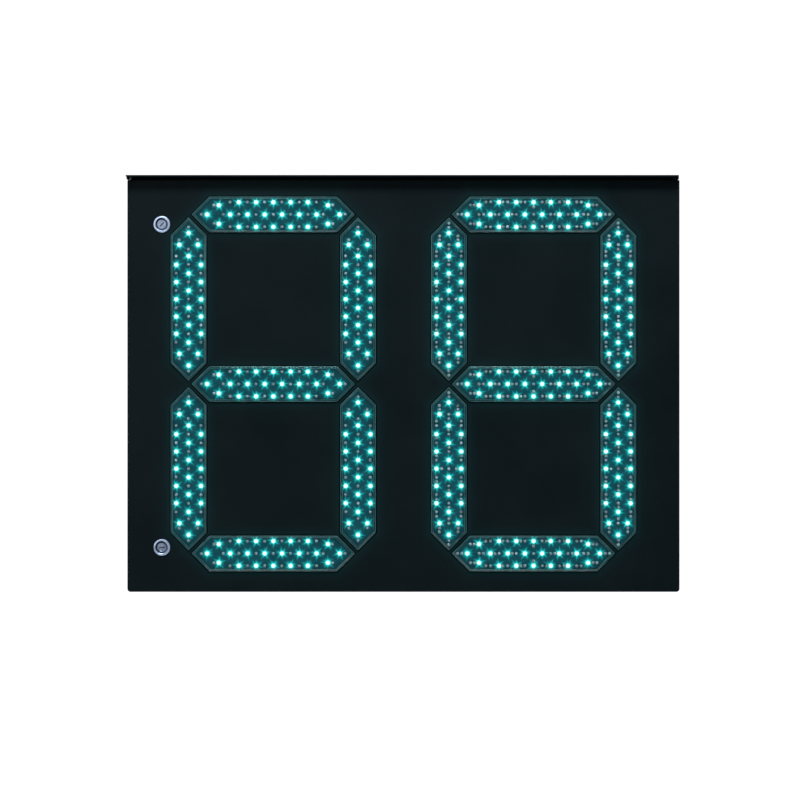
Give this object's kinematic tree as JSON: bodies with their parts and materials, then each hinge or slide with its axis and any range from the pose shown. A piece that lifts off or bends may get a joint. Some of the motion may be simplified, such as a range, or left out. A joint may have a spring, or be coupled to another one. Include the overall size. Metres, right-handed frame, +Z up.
{
  "type": "led countdown signal head",
  "caption": "Wall or pole hung LED countdown signal head: black sheet-steel case, hinged front door with two key locks, seven-segment digits behind bevelled covers.",
  "frame": {"origin": "centre of the rear mounting plane, on the rails' rear faces, level with the middle of the door", "axes": "+Z up, the lit front faces -Y, +X to the right seen from the front"},
  "size_m": [0.8012, 0.138, 0.603],
  "materials": {
    "black_powder_coat": "satin fine-texture powder coat",
    "clear_cover": "moulded clear polycarbonate, slightly smoked",
    "segment_board": "black board in a potted tray, lit by its LEDs",
    "lock_chrome": "polished nickel-chrome",
    "zinc_steel": "bright zinc plate",
    "brass_stud": "turned",
    "sponge": "matte closed-cell sponge",
    "driver_board": "green solder mask",
    "supply_case": "satin mill finish",
    "black_nylon": "moulded nylon",
    "terminal_plastic": "moulded",
    "loom_sleeve": "braided sleeve"
  },
  "bodies": {
    "case": {"rear_case": "black_powder_coat", "rain_hood": "black_powder_coat", "mount_rail_upper": "black_powder_coat", "mount_rail_lower": "black_powder_coat", "power_supply": "supply_case", "terminal_block": "terminal_plastic", "earth_stud": "brass_stud", "cable_gland": "black_nylon", "gland_locknut": "black_nylon", "gland_cap": "black_nylon", "case_loom": "loom_sleeve", "hinge_upper_case_leaf": "zinc_steel", "hinge_lower_case_leaf": "zinc_steel", "hinge_upper_pin": "zinc_steel", "hinge_lower_pin": "zinc_steel"},
    "door": {"door_panel": "black_powder_coat", "tens_a_cover": "clear_cover", "tens_b_cover": "clear_cover", "tens_c_cover": "clear_cover", "tens_d_cover": "clear_cover", "tens_e_cover": "clear_cover", "tens_f_cover": "clear_cover", "tens_g_cover": "clear_cover", "units_a_cover": "clear_cover", "units_b_cover": "clear_cover", "units_c_cover": "clear_cover", "units_d_cover": "clear_cover", "units_e_cover": "clear_cover", "units_f_cover": "clear_cover", "units_g_cover": "clear_cover", "tens_a_led_board": "segment_board", "tens_b_led_board": "segment_board", "tens_c_led_board": "segment_board", "tens_d_led_board": "segment_board", "tens_e_led_board": "segment_board", "tens_f_led_board": "segment_board", "tens_g_led_board": "segment_board", "units_a_led_board": "segment_board", "units_b_led_board": "segment_board", "units_c_led_board": "segment_board", "units_d_led_board": "segment_board", "units_e_led_board": "segment_board", "units_f_led_board": "segment_board", "units_g_led_board": "segment_board", "lock_upper_body": "lock_chrome", "lock_upper_nut": "zinc_steel", "hinge_upper_door_leaf": "zinc_steel", "lock_lower_body": "lock_chrome", "lock_lower_nut": "zinc_steel", "hinge_lower_door_leaf": "zinc_steel", "door_gasket": "sponge", "control_board": "driver_board", "hinge_loop": "loom_sleeve", "door_loom": "loom_sleeve"},
    "upper_lock": {"lock_upper_plug": "lock_chrome", "lock_upper_cam": "zinc_steel", "lock_upper_cam_screw": "zinc_steel"},
    "lower_lock": {"lock_lower_plug": "lock_chrome", "lock_lower_cam": "zinc_steel", "lock_lower_cam_screw": "zinc_steel"}
  },
  "joints": [
    {"name": "door_hinge", "type": "hinge", "parent": "case", "child": "door", "pos_m": [0.3965, -0.1065, 0], "axis": [0, 0, 1], "range_deg": [0, 110], "deforming": ["hinge_loop"]},
    {"name": "upper_lock_turn", "type": "hinge", "parent": "door", "child": "upper_lock", "pos_m": [-0.35, -0.1, 0.234], "axis": [0, 1, 0], "range_deg": [0, 90]},
    {"name": "lower_lock_turn", "type": "hinge", "parent": "door", "child": "lower_lock", "pos_m": [-0.35, -0.1, -0.234], "axis": [0, 1, 0], "range_deg": [0, 90]}
  ]
}
